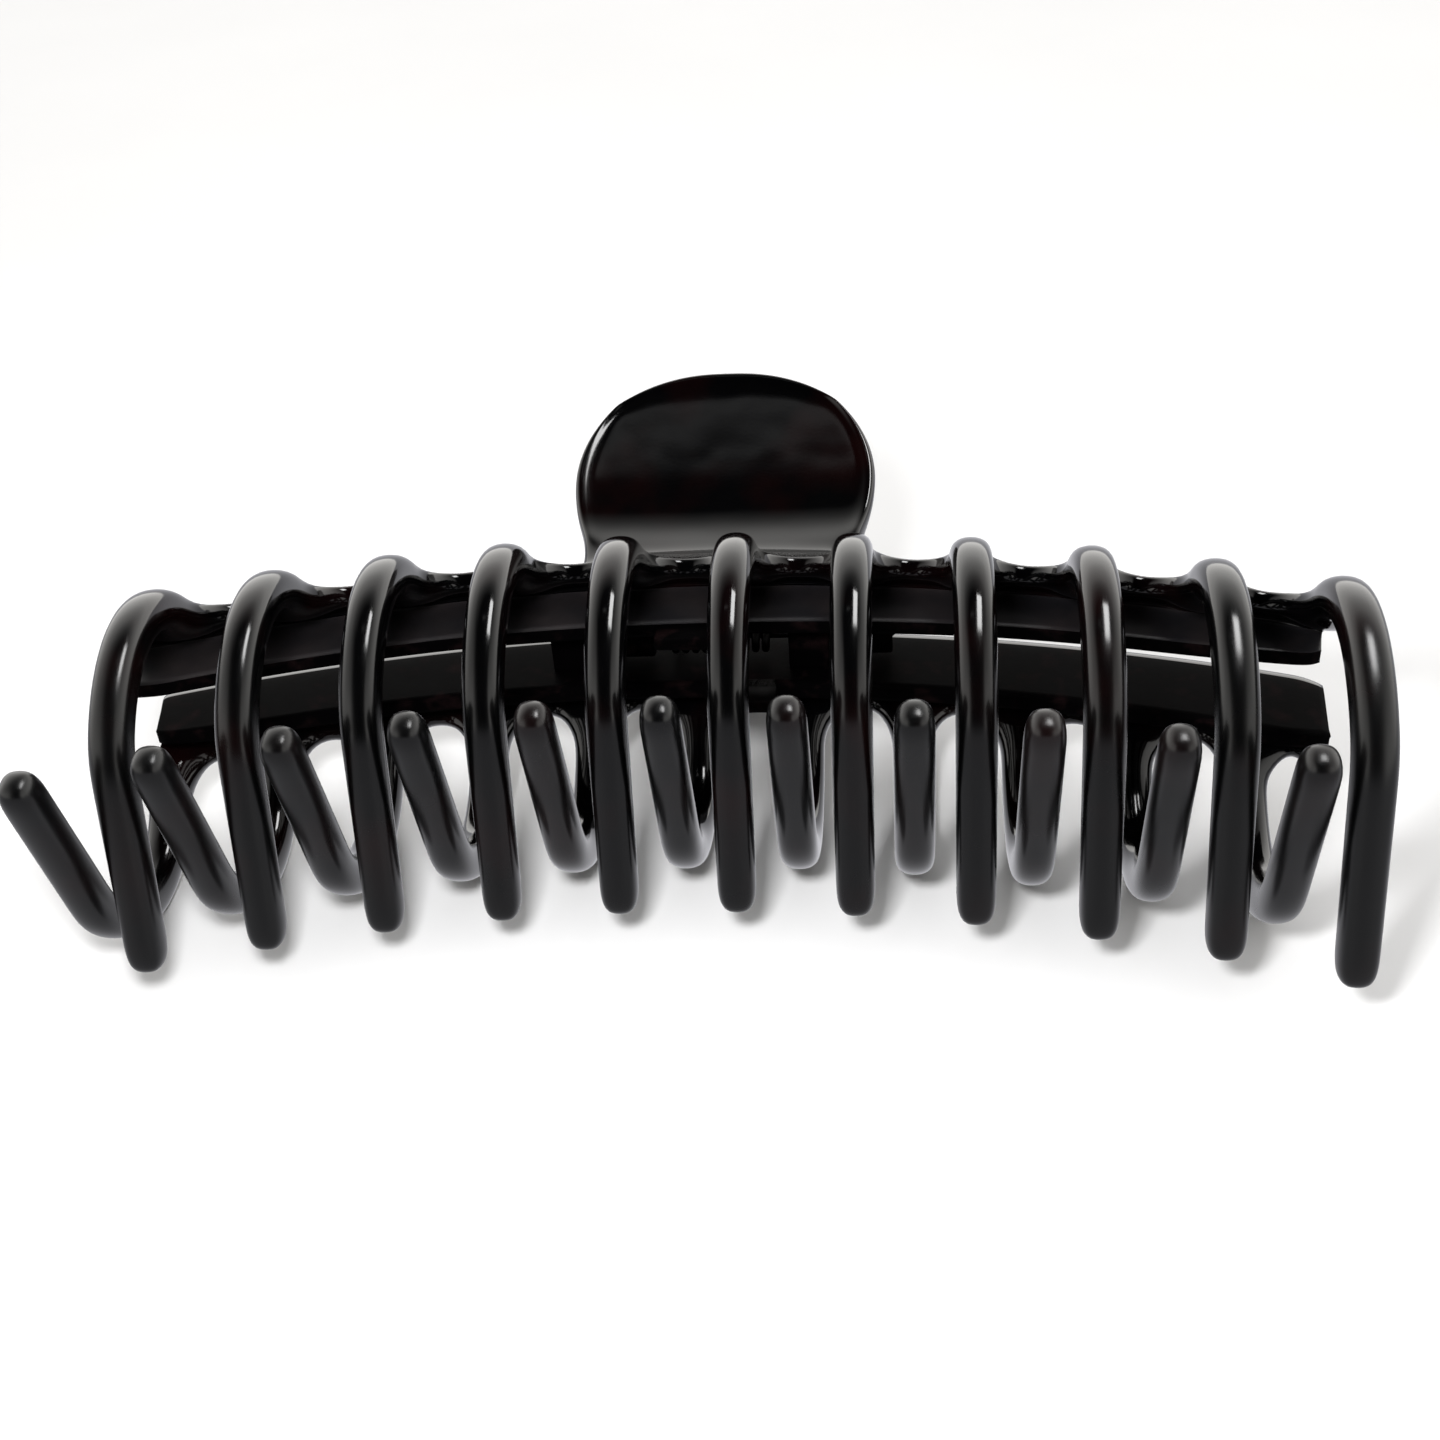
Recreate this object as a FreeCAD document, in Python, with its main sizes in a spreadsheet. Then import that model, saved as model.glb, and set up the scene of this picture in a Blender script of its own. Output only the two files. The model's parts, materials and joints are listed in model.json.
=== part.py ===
import FreeCAD, Part
import math
import os
import Sketcher

# Large claw hair clip with curved teeth, lying closed on its side.
#
# Row frame: +X along the hinge, +Y towards the thumb pads, +Z up. The lower jaw
# rests on the table and the upper jaw is the same moulding turned by 180 degrees
# about a line parallel to Y, so that the teeth of the two jaws interlace.
#
# Jaw frame: X along the hinge, Y ("rise") towards the thumb pad, Z ("out") away
# from the plane between the jaws. The whole spine is arched, so each section
# drops towards the teeth side as it nears the ends of the clip. The teeth stand
# parallel to one another, with their roots at an even pitch along the arch.

SIZES = {
    # spine: a web plate and a sloping roof that meet at a ridge
    "arch_radius": 183.4,
    "spine_half_length": 61.6,
    "web_inner_out": 3.4,
    "web_thick": 1.5,
    "web_drop": 2.9,
    "ridge_rise": 8.3,
    "ridge_out": 4.7,
    "ridge_flat_drop": 1.3,
    "roof_edge_rise": 2.0,
    "roof_edge_out": 9.8,
    "roof_thick": 2.0,
    "roof_slope": 51.0,
    "stop_tab_half": 3.3,
    "stop_tab_drop": 3.3,
    # teeth
    "tooth_pitch": 11.8,
    "tooth_width": 4.0,
    "tooth_depth": 4.4,
    "tooth_round": 1.7,
    "root_rise": 1.0,
    "root_out": 6.7,
    "root_length": 2.5,
    "root_dip": 23.0,
    "shoulder_radius": 11.4,
    "shoulder_turn": 89.5,
    "flank_radius": 16.5,
    "flank_turn": 25.0,
    "heel_radius": 9.7,
    "heel_turn": 27.7,
    "tip_length": 20.4,
    # thumb pad
    "pad_lean": 31.4,
    "pad_base_rise": 7.4,
    "pad_base_out": 4.3,
    "pad_thick": 2.2,
    "pad_tuck": 0.8,
    "pad_base_half": 14.6,
    "pad_corner_radius": 12.3,
    "pad_corner_side": 4.4,
    "pad_corner_up": 10.6,
    "pad_top_radius": 18.14,
    "dish_radius": 134.0,
    "dish_depth": 0.9,
    # hinge
    "hinge_rise": 3.0,
    "knuckle_radius": 2.9,
    "bore_radius": 1.15,
    "knuckle_root": 0.5,
    "outer_knuckle_start": 12.2,
    "outer_knuckle_length": 6.4,
    "inner_knuckle_start": 7.4,
    "inner_knuckle_length": 4.4,
    "pin_radius": 1.1,
    "pin_length": 38.0,
    "pin_knurl_radius": 1.17,
    "pin_knurl_length": 4.0,
    # torsion spring
    "wire_radius": 0.45,
    "coil_radius": 2.2,
    "coil_pitch": 1.1,
    "coil_turns": 9.0,
    "leg_rise": 5.0,
    "leg_length": 9.0,
    # where the jaw frame lies in the row frame, worked out from the mouldings
    "hinge_shift": 0.0,
    "hinge_height": 0.0,
}

TOOTH_COUNT = 11
KNUCKLES = ("outer_knuckle", "inner_knuckle")

doc = FreeCAD.newDocument("claw_clip")
sheet = doc.addObject("Spreadsheet::Sheet", "sizes")


def fill_sheet():
    for row, (alias, value) in enumerate(SIZES.items(), start=1):
        sheet.set(f"A{row}", alias)
        sheet.set(f"B{row}", str(value))
        sheet.setAlias(f"B{row}", alias)
    doc.recompute()


def set_size(alias, value):
    sheet.set(sheet.getCellFromAlias(alias), str(value))


def bind(thing, target, formula):
    """Bind a property to a formula in which sheet sizes are written as $name."""
    thing.setExpression(target, formula.replace("$", "sizes."))


def add_body(name):
    return doc.addObject("PartDesign::Body", name)


def add_sketch(body, name, plane, offset=None):
    sketch = body.newObject("Sketcher::SketchObject", name)
    origin_plane = next(f for f in body.Origin.OriginFeatures if f.Role == plane)
    sketch.AttachmentSupport = (origin_plane, [""])
    sketch.MapMode = "FlatFace"
    if offset:
        sketch.AttachmentOffset = offset
    return sketch


def constrain(sketch, name, formula, *constraint):
    index = sketch.addConstraint(Sketcher.Constraint(*constraint))
    sketch.renameConstraint(index, name)
    bind(sketch, f"Constraints.{name}", formula)


def place_vertex(sketch, name, geometry, end, across, along):
    """Fix a vertex at (value, formula) distances from the sketch's origin."""
    for kind, (value, formula) in (("DistanceX", across), ("DistanceY", along)):
        points = (-1, 1, geometry, end) if value > 0 else (geometry, end, -1, 1)
        constrain(sketch, f"{name}_{kind[-1].lower()}", formula, kind, *points, abs(value))


def add_polygon(sketch, name, corners):
    """A closed outline whose corners are pairs of (value, formula)."""
    points = [FreeCAD.Vector(c[0][0], c[1][0], 0) for c in corners]
    first = len(sketch.Geometry)
    for start, end in zip(points, points[1:] + points[:1]):
        sketch.addGeometry(Part.LineSegment(start, end))
    count = len(points)
    for i in range(count):
        sketch.addConstraint(Sketcher.Constraint("Coincident", first + i, 2, first + (i + 1) % count, 1))
    for i, (across, along) in enumerate(corners):
        place_vertex(sketch, f"{name}{i}", first + i, 1, across, along)


# ---------------------------------------------------------------- spine

def spine_corners():
    """The section of the spine, with distances measured from the arch's centre."""
    arch = SIZES["arch_radius"]
    slope = math.radians(SIZES["roof_slope"])
    inner = SIZES["web_inner_out"]
    outer = inner + SIZES["web_thick"]
    edge_rise, edge_out = SIZES["roof_edge_rise"], SIZES["roof_edge_out"]
    thick = SIZES["roof_thick"]
    under_rise = edge_rise - thick * math.cos(slope)
    under_out = edge_out - thick * math.sin(slope)
    apex_rise = under_rise + (under_out - outer) * math.tan(slope)
    under_rise_text = "$arch_radius + $roof_edge_rise - $roof_thick * cos($roof_slope * 1 deg)"
    under_out_text = "$roof_edge_out - $roof_thick * sin($roof_slope * 1 deg)"
    outer_text = "$web_inner_out + $web_thick"
    apex_text = f"{under_rise_text} + ({under_out_text} - ({outer_text})) * tan($roof_slope * 1 deg)"
    flat_rise = SIZES["ridge_rise"] - SIZES["ridge_flat_drop"]
    return [
        ((arch - SIZES["web_drop"], "$arch_radius - $web_drop"), (inner, "$web_inner_out")),
        ((arch + flat_rise, "$arch_radius + $ridge_rise - $ridge_flat_drop"), (inner, "$web_inner_out")),
        ((arch + SIZES["ridge_rise"], "$arch_radius + $ridge_rise"), (SIZES["ridge_out"], "$ridge_out")),
        ((arch + edge_rise, "$arch_radius + $roof_edge_rise"), (edge_out, "$roof_edge_out")),
        ((arch + under_rise, under_rise_text), (under_out, under_out_text)),
        ((arch + apex_rise, apex_text), (outer, outer_text)),
        ((arch - SIZES["web_drop"], "$arch_radius - $web_drop"), (outer, outer_text)),
    ]


def add_arched_section(body, prefix):
    section = add_sketch(body, f"{prefix}_section", "YZ_Plane")
    bind(section, ".AttachmentOffset.Base.x", "-$arch_radius")
    add_polygon(section, "corner", spine_corners())
    arch = body.newObject("PartDesign::Revolution", f"{prefix}_arch")
    arch.Profile = section
    arch.ReferenceAxis = (section, ["V_Axis"])
    arch.Midplane = True
    bind(arch, "Angle", "2 * asin($spine_half_length / $arch_radius)")


def add_knuckle(body, prefix, knuckle, side):
    """A hinge eye on a web that grows out of the spine's plate."""
    sketch = add_sketch(body, f"{prefix}_{knuckle}_sketch", "YZ_Plane")
    start = f"{side} * (${knuckle}_start + ${knuckle}_length / 2)"
    bind(sketch, ".AttachmentOffset.Base.z", start)
    rise, radius = SIZES["hinge_rise"], SIZES["knuckle_radius"]
    root = SIZES["web_inner_out"] + SIZES["knuckle_root"]
    centre = FreeCAD.Vector(rise, 0, 0)
    normal = FreeCAD.Vector(0, 0, 1)
    low, high = rise - radius, rise + radius
    sketch.addGeometry(Part.ArcOfCircle(Part.Circle(centre, normal, radius), math.pi, 2 * math.pi))
    sketch.addGeometry(Part.LineSegment(FreeCAD.Vector(high, 0, 0), FreeCAD.Vector(high, root, 0)))
    sketch.addGeometry(Part.LineSegment(FreeCAD.Vector(high, root, 0), FreeCAD.Vector(low, root, 0)))
    sketch.addGeometry(Part.LineSegment(FreeCAD.Vector(low, root, 0), FreeCAD.Vector(low, 0, 0)))
    sketch.addGeometry(Part.Circle(centre, normal, SIZES["bore_radius"]))
    sketch.addConstraint(Sketcher.Constraint("Tangent", 0, 2, 1, 1))
    sketch.addConstraint(Sketcher.Constraint("Coincident", 1, 2, 2, 1))
    sketch.addConstraint(Sketcher.Constraint("Coincident", 2, 2, 3, 1))
    sketch.addConstraint(Sketcher.Constraint("Tangent", 3, 2, 0, 1))
    sketch.addConstraint(Sketcher.Constraint("Vertical", 1))
    sketch.addConstraint(Sketcher.Constraint("Horizontal", 2))
    sketch.addConstraint(Sketcher.Constraint("Coincident", 4, 3, 0, 3))
    sketch.addConstraint(Sketcher.Constraint("PointOnObject", 0, 3, -1))
    constrain(sketch, "centre_rise", "$hinge_rise", "DistanceX", -1, 1, 0, 3, rise)
    constrain(sketch, "eye_radius", "$knuckle_radius", "Radius", 0, radius)
    constrain(sketch, "bore", "$bore_radius", "Radius", 4, SIZES["bore_radius"])
    constrain(sketch, "root", "$web_inner_out + $knuckle_root", "DistanceY", -1, 1, 2, 1, root)
    eye = body.newObject("PartDesign::Pad", f"{prefix}_{knuckle}")
    eye.Profile = sketch
    eye.Midplane = True
    bind(eye, "Length", f"${knuckle}_length")


def add_stop_tab(body, prefix):
    """A tab below the web plate, in the gap between the two middle teeth."""
    sketch = add_sketch(body, f"{prefix}_stop_tab_sketch", "XY_Plane")
    bind(sketch, ".AttachmentOffset.Base.x", "-$tooth_pitch / 4")
    bind(sketch, ".AttachmentOffset.Base.z", "$web_inner_out")
    half = (SIZES["stop_tab_half"], "$stop_tab_half")
    top = (-SIZES["web_drop"] / 2, "$web_drop / 2")
    bottom = (-SIZES["web_drop"] - SIZES["stop_tab_drop"], "$web_drop + $stop_tab_drop")
    left, right = (-half[0], half[1]), half
    add_polygon(sketch, "corner", [(left, bottom), (right, bottom), (right, top), (left, top)])
    tab = body.newObject("PartDesign::Pad", f"{prefix}_stop_tab")
    tab.Profile = sketch
    bind(tab, "Length", "$web_thick")


def add_spine(prefix):
    body = add_body(f"{prefix}_spine_moulding")
    add_arched_section(body, prefix)
    add_stop_tab(body, prefix)
    for knuckle, side in zip(KNUCKLES, (1, -1)):
        add_knuckle(body, prefix, knuckle, side)
    return body


# ---------------------------------------------------------------- teeth

def add_tooth_path(body, name):
    """A straight root, three tangent arcs and a straight tip, in the YZ plane."""
    path = add_sketch(body, f"{name}_path", "YZ_Plane")
    heading = math.radians(90 + SIZES["root_dip"])
    point = FreeCAD.Vector(SIZES["root_rise"], SIZES["root_out"], 0)

    def add_line(length):
        nonlocal point
        end = point + FreeCAD.Vector(math.cos(heading), math.sin(heading), 0) * length
        path.addGeometry(Part.LineSegment(point, end))
        point = end

    def add_arc(radius, turn):
        nonlocal point, heading
        centre = point + FreeCAD.Vector(-math.sin(heading), math.cos(heading), 0) * radius
        circle = Part.Circle(centre, FreeCAD.Vector(0, 0, 1), radius)
        begin = heading - math.pi / 2
        path.addGeometry(Part.ArcOfCircle(circle, begin, begin + turn))
        heading += turn
        point = centre + FreeCAD.Vector(math.sin(heading), -math.cos(heading), 0) * radius

    arcs = ("shoulder", "flank", "heel")
    add_line(SIZES["root_length"])
    for arc in arcs:
        add_arc(SIZES[f"{arc}_radius"], math.radians(SIZES[f"{arc}_turn"]))
    add_line(SIZES["tip_length"])

    place_vertex(path, "root", 0, 1, (SIZES["root_rise"], "$root_rise"), (SIZES["root_out"], "$root_out"))
    constrain(path, "root_run", "$root_length", "Distance", 0, SIZES["root_length"])
    dip = math.radians(90 + SIZES["root_dip"])
    constrain(path, "root_heading", "(90 + $root_dip) * 1 deg", "Angle", 0, dip)
    for i, arc in enumerate(arcs, start=1):
        path.addConstraint(Sketcher.Constraint("Tangent", i - 1, 2, i, 1))
        constrain(path, f"{arc}_bend", f"${arc}_radius", "Radius", i, SIZES[f"{arc}_radius"])
        turn = math.radians(SIZES[f"{arc}_turn"])
        constrain(path, f"{arc}_sweep", f"${arc}_turn * 1 deg", "Angle", i, turn)
    last = len(arcs) + 1
    path.addConstraint(Sketcher.Constraint("Tangent", last - 1, 2, last, 1))
    constrain(path, "tip_run", "$tip_length", "Distance", last, SIZES["tip_length"])
    return path


def add_tooth_section(body, name):
    section = add_sketch(body, f"{name}_section", "XY_Plane",
                         FreeCAD.Placement(FreeCAD.Vector(), FreeCAD.Rotation(FreeCAD.Vector(1, 0, 0), 1)))
    bind(section, ".AttachmentOffset.Base.y", "$root_rise")
    bind(section, ".AttachmentOffset.Base.z", "$root_out")
    bind(section, ".AttachmentOffset.Rotation.Angle", "$root_dip * 1 deg")
    half_width, half_depth = SIZES["tooth_width"] / 2, SIZES["tooth_depth"] / 2
    corners = []
    for side, face in ((-1, -1), (1, -1), (1, 1), (-1, 1)):
        corners.append(((side * half_width, "$tooth_width / 2"), (face * half_depth, "$tooth_depth / 2")))
    add_polygon(section, "corner", corners)
    return section


def add_tooth_body(prefix, number):
    name = f"{prefix}_bar_{number:02d}"
    body = add_body(name)
    path = add_tooth_path(body, name)
    bar = body.newObject("PartDesign::AdditivePipe", f"{name}_pipe")
    bar.Profile = add_tooth_section(body, name)
    bar.Spine = (path, [f"Edge{i + 1}" for i in range(len(path.Geometry))])
    doc.recompute()
    rounding = body.newObject("PartDesign::Fillet", f"{name}_rounding")
    rounding.Base = (bar, ["Edge1"])
    rounding.UseAllEdges = True
    bind(rounding, "Radius", "$tooth_round")
    along_arch = f"({number} - {(TOOTH_COUNT + 1) // 2}) * $tooth_pitch + $tooth_pitch / 4"
    turn = f"({along_arch}) / $arch_radius * 1 rad"
    bind(body, ".Placement.Base.x", f"$arch_radius * sin({turn})")
    bind(body, ".Placement.Base.y", f"$arch_radius * (cos({turn}) - 1)")
    return body


# ---------------------------------------------------------------- thumb pad

def pad_outline_points():
    """Corner arcs, the flatter top arc between them, and sides that narrow to the base."""
    corner_radius = SIZES["pad_corner_radius"]
    side, up = SIZES["pad_corner_side"], SIZES["pad_corner_up"]
    top_centre = up - math.sqrt((SIZES["pad_top_radius"] - corner_radius) ** 2 - side ** 2)
    base = FreeCAD.Vector(SIZES["pad_base_half"], -SIZES["pad_tuck"], 0)
    centre = FreeCAD.Vector(side, up, 0)
    reach = base - centre
    lean = math.atan2(reach.y, reach.x) + math.acos(corner_radius / reach.Length)
    join = math.atan2(up - top_centre, side)
    return base, centre, lean, join, FreeCAD.Vector(0, top_centre, 0)


def add_pad_outline(body, prefix):
    outline = add_sketch(body, f"{prefix}_pad_outline", "XY_Plane")
    base, centre, lean, join, top_centre = pad_outline_points()
    radius, top_radius = SIZES["pad_corner_radius"], SIZES["pad_top_radius"]
    normal = FreeCAD.Vector(0, 0, 1)

    def flipped(point):
        return FreeCAD.Vector(-point.x, point.y, 0)

    touch = centre + FreeCAD.Vector(math.cos(lean), math.sin(lean), 0) * radius
    outline.addGeometry(Part.LineSegment(flipped(base), base))
    outline.addGeometry(Part.LineSegment(base, touch))
    outline.addGeometry(Part.ArcOfCircle(Part.Circle(centre, normal, radius), lean, join))
    outline.addGeometry(Part.ArcOfCircle(Part.Circle(top_centre, normal, top_radius), join, math.pi - join))
    left = Part.Circle(flipped(centre), normal, radius)
    outline.addGeometry(Part.ArcOfCircle(left, math.pi - join, math.pi - lean))
    outline.addGeometry(Part.LineSegment(flipped(touch), flipped(base)))

    outline.addConstraint(Sketcher.Constraint("Coincident", 0, 2, 1, 1))
    for i in range(1, 5):
        outline.addConstraint(Sketcher.Constraint("Tangent", i, 2, i + 1, 1))
    outline.addConstraint(Sketcher.Constraint("Coincident", 5, 2, 0, 1))
    tuck = (-SIZES["pad_tuck"], "$pad_tuck")
    half = SIZES["pad_base_half"]
    place_vertex(outline, "base_left", 0, 1, (-half, "$pad_base_half"), tuck)
    place_vertex(outline, "base_right", 0, 2, (half, "$pad_base_half"), tuck)
    side, up = SIZES["pad_corner_side"], SIZES["pad_corner_up"]
    place_vertex(outline, "right", 2, 3, (side, "$pad_corner_side"), (up, "$pad_corner_up"))
    place_vertex(outline, "left", 4, 3, (-side, "$pad_corner_side"), (up, "$pad_corner_up"))
    constrain(outline, "right_radius", "$pad_corner_radius", "Radius", 2, radius)
    constrain(outline, "left_radius", "$pad_corner_radius", "Radius", 4, radius)
    return outline


def add_pad_blank(prefix):
    body = add_body(f"{prefix}_pad_blank")
    blade = body.newObject("PartDesign::Pad", f"{prefix}_pad_blade")
    blade.Profile = add_pad_outline(body, prefix)
    blade.Midplane = True
    bind(blade, "Length", "$pad_thick")
    return body


def add_thumb_pad(prefix, spine):
    """The thumb pad: a leaning blade with a shallow dish in its outer face."""
    dish = doc.addObject("Part::Sphere", f"{prefix}_dish")
    bind(dish, "Radius", "$dish_radius")
    bind(dish, ".Placement.Base.y", "$pad_corner_up")
    bind(dish, ".Placement.Base.z", "$pad_thick / 2 - $dish_depth + $dish_radius")
    dished = doc.addObject("Part::Cut", f"{prefix}_dished_pad")
    dished.Base = add_pad_blank(prefix)
    dished.Tool = dish
    dished.Placement.Rotation = FreeCAD.Rotation(FreeCAD.Vector(1, 0, 0), 1)
    bind(dished, ".Placement.Rotation.Angle", "$pad_lean * 1 deg")
    bind(dished, ".Placement.Base.y", "$pad_base_rise")
    bind(dished, ".Placement.Base.z", "$pad_base_out")
    return trimmed(f"{prefix}_thumb_pad", dished, spine)


# ---------------------------------------------------------------- jaws

def trimmed(name, base, tool):
    """A piece that meets the spine face to face."""
    piece = doc.addObject("Part::Cut", name)
    piece.Base = base
    piece.Tool = tool
    return piece


def stand_in_row(piece, upside_down):
    turn = 180 if upside_down else 0
    piece.Placement.Rotation = FreeCAD.Rotation(FreeCAD.Vector(0, 1, 0), turn)
    bind(piece, ".Placement.Base.y", "$hinge_shift")
    bind(piece, ".Placement.Base.z", "$hinge_height")


def add_spine_copy(prefix, spine):
    """The spine as a node of its own, so that its body can stay in the jaw frame."""
    node = doc.addObject("Part::Compound", f"{prefix}_spine")
    node.Links = [spine]
    return node


def add_jaw(prefix, upside_down):
    spine = add_spine(prefix)
    doc.recompute()
    pieces = [add_spine_copy(prefix, spine), add_thumb_pad(prefix, spine)]
    for number in range(1, TOOTH_COUNT + 1):
        bar = add_tooth_body(prefix, number)
        pieces.append(trimmed(f"{prefix}_tooth_{number:02d}", bar, spine))
    for piece in pieces:
        stand_in_row(piece, upside_down)
    return pieces


# ---------------------------------------------------------------- hinge pin

def add_rod(name, radius, length, middle):
    rod = doc.addObject("Part::Cylinder", name)
    rod.Placement.Rotation = FreeCAD.Rotation(FreeCAD.Vector(0, 1, 0), 90)
    bind(rod, "Radius", radius)
    bind(rod, "Height", length)
    bind(rod, ".Placement.Base.x", f"{middle} - ({length}) / 2")
    return rod


def add_hinge_pin():
    """A steel pin with a knurled grip in the lower jaw's outer eye."""
    shank = add_rod("pin_shank", "$pin_radius", "$pin_length", "0")
    grip = "-($outer_knuckle_start + $outer_knuckle_length / 2)"
    knurl = add_rod("pin_knurl", "$pin_knurl_radius", "$pin_knurl_length", grip)
    pin = doc.addObject("Part::Fuse", "hinge_pin")
    pin.Base = shank
    pin.Tool = knurl
    bind(pin, ".Placement.Base.y", "$hinge_shift + $hinge_rise")
    bind(pin, ".Placement.Base.z", "$hinge_height")
    return pin


# ---------------------------------------------------------------- spring

def wire_run(start, end):
    radius = SIZES["wire_radius"]
    run = end - start
    return [Part.makeCylinder(radius, run.Length, start, run), Part.makeSphere(radius, end)]


def leg_shape(side):
    """One leg: up beside the web plate, then out along the back of the thumb pad."""
    coil = SIZES["coil_radius"]
    half = SIZES["coil_pitch"] * SIZES["coil_turns"] / 2
    lean = math.radians(SIZES["pad_lean"])
    start = FreeCAD.Vector(side * half, 0, side * coil)
    knee = start + FreeCAD.Vector(0, SIZES["leg_rise"], side * SIZES["wire_radius"])
    reach = FreeCAD.Vector(0, math.cos(lean), side * math.sin(lean)) * SIZES["leg_length"]
    parts = [Part.makeSphere(SIZES["wire_radius"], start)]
    parts += wire_run(start, knee) + wire_run(knee, knee + reach)
    return parts


def spring_shape():
    """A close coil about the pin with a leg at each end."""
    coil, pitch, turns = SIZES["coil_radius"], SIZES["coil_pitch"], SIZES["coil_turns"]
    length = pitch * turns
    helix = Part.makeHelix(pitch, length + pitch / 2, coil)
    start = FreeCAD.Vector(coil, 0, 0)
    slope = FreeCAD.Vector(0, 2 * math.pi * coil, pitch)
    ring = Part.Wire([Part.makeCircle(SIZES["wire_radius"], start, slope)])
    wound = Part.Wire(helix).makePipeShell([ring], True, True)
    wound.translate(FreeCAD.Vector(0, 0, -(length + pitch / 2) / 2))
    wound.rotate(FreeCAD.Vector(), FreeCAD.Vector(0, 1, 0), 90)
    return wound.multiFuse(leg_shape(1) + leg_shape(-1))


def add_spring():
    spring = doc.addObject("Part::Feature", "torsion_spring")
    spring.Shape = spring_shape()
    bind(spring, ".Placement.Base.y", "$hinge_shift + $hinge_rise")
    bind(spring, ".Placement.Base.z", "$hinge_height")
    return spring


# ---------------------------------------------------------------- the clip

def settle_in_row(pieces):
    """Stand the clip on Z = 0 with its box centred on the origin in Y."""
    boxes = [piece.Shape.optimalBoundingBox() for piece in pieces]
    low, high = min(box.YMin for box in boxes), max(box.YMax for box in boxes)
    set_size("hinge_shift", -(low + high) / 2)
    set_size("hinge_height", -min(box.ZMin for box in boxes))
    doc.recompute()


def check_document(pieces):
    for thing in doc.Objects:
        if "Invalid" in thing.State or "Error" in thing.State:
            raise RuntimeError(f"{thing.Name} failed: {thing.State}")
    for piece in pieces:
        shape = piece.Shape
        if shape.isNull() or not shape.isValid() or len(shape.Solids) != 1:
            raise RuntimeError(f"{piece.Label} is not one valid solid")


def write_parts(pieces):
    os.makedirs("parts", exist_ok=True)
    for piece in pieces:
        piece.Shape.exportStep(f"parts/{piece.Label}.step")


fill_sheet()
lower_jaw = add_jaw("lower", True)
upper_jaw = add_jaw("upper", False)
clip = lower_jaw + upper_jaw + [add_hinge_pin(), add_spring()]
doc.recompute()
settle_in_row(clip)
check_document(clip)
write_parts(clip)
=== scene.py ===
import json
import math

import bmesh
import bpy
from mathutils import Matrix, Vector


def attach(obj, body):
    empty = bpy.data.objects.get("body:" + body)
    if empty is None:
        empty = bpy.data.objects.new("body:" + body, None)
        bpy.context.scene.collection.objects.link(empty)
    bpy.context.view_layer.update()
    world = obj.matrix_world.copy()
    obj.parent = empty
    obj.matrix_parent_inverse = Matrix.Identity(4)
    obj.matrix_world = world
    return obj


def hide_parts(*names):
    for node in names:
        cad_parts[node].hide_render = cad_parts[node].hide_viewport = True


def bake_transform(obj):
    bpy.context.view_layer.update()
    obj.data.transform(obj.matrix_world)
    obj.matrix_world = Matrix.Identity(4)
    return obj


# Large claw hair clip lying closed on its side. Jaw shapes are written in the jaw
# frame, in millimetres: x along the hinge, v towards the thumb pad, u outwards from
# the plane between the jaws. The upper jaw stands as written and the lower jaw is
# the same moulding turned by half a turn about a line parallel to Y.

MM = 0.001
TINY = 1e-9

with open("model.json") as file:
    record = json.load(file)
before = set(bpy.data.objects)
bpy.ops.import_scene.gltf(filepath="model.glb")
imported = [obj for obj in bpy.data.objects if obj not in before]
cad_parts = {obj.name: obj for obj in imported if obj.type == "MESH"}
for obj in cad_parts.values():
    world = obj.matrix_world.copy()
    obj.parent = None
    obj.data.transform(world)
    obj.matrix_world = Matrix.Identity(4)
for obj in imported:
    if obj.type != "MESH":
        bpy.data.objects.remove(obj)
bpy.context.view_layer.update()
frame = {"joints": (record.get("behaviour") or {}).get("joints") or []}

# ---------------------------------------------------------------- driving sizes

# The spine is arched. Each end is a plane, given by its x at v = 0 and its slant.
ARCH_RADIUS = 183.4
SPINE_HALF = 61.6
START_X, START_SLANT = -62.55, -0.1
FINISH_X, FINISH_SLANT = 60.8, 0.17
END_TAPER = 2.4  # the first end draws in by this much from the web out to the lip
CORNER_CUT = 0.7  # the web and the ridge are this much shallower at both ends
HINGE_RISE = 3.0

# A tooth's centreline is three arcs, as (radius, turn in degrees), then a straight run.
TOOTH_COUNT = 11
TOOTH_PITCH = 11.8
ROOT_V, ROOT_U = 0.02, 9.0
ROOT_HEADING = -23.0
TOOTH_ARCS = ((11.4, 89.5), (16.5, 25.0), (9.7, 27.7))
TIP_RUN = 20.4

# A tooth's section is a rounded square that gets slightly smaller towards the tip.
TOOTH_HALF_WIDTH = 2.08
TOOTH_HALF_DEPTH = 2.2
ROOT_SWELL = 1.04
WIDTH_TAPER, DEPTH_TAPER = 0.1, 0.06
TOOTH_CORNER, TOOTH_CROWN, TOOTH_FLANK = 0.86, 1.06, 1.04

# Rings of a tooth: runs from the root, then (distance before the tip, share of size).
RING_RUNS = (2.4, 5.0, 7.8, 10.6, 13.4, 16.4, 19.6, 22.8, 25.8, 28.4, 31.6, 36.0, 41.0, 45.5)
TIP_RINGS = ((2.3, 1.0), (0.85, 0.86), (0.1, 0.5))
TIP_DOME = 0.15

# The thumb pad leans outwards, and its outer face is dished.
PAD_BASE_V, PAD_BASE_U = 7.4, 4.3
PAD_LEAN = math.radians(31.4)
PAD_HALF_WIDTH = 16.7
PAD_MIDDLE = 10.6
PAD_TOP = 14.6
PAD_HALF_THICK = 1.1
DISH_DEPTH = 0.85
DISH_CENTRE = 12.0
DISH_ALONG = 20.0
DISH_ACROSS = 24.0

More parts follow.
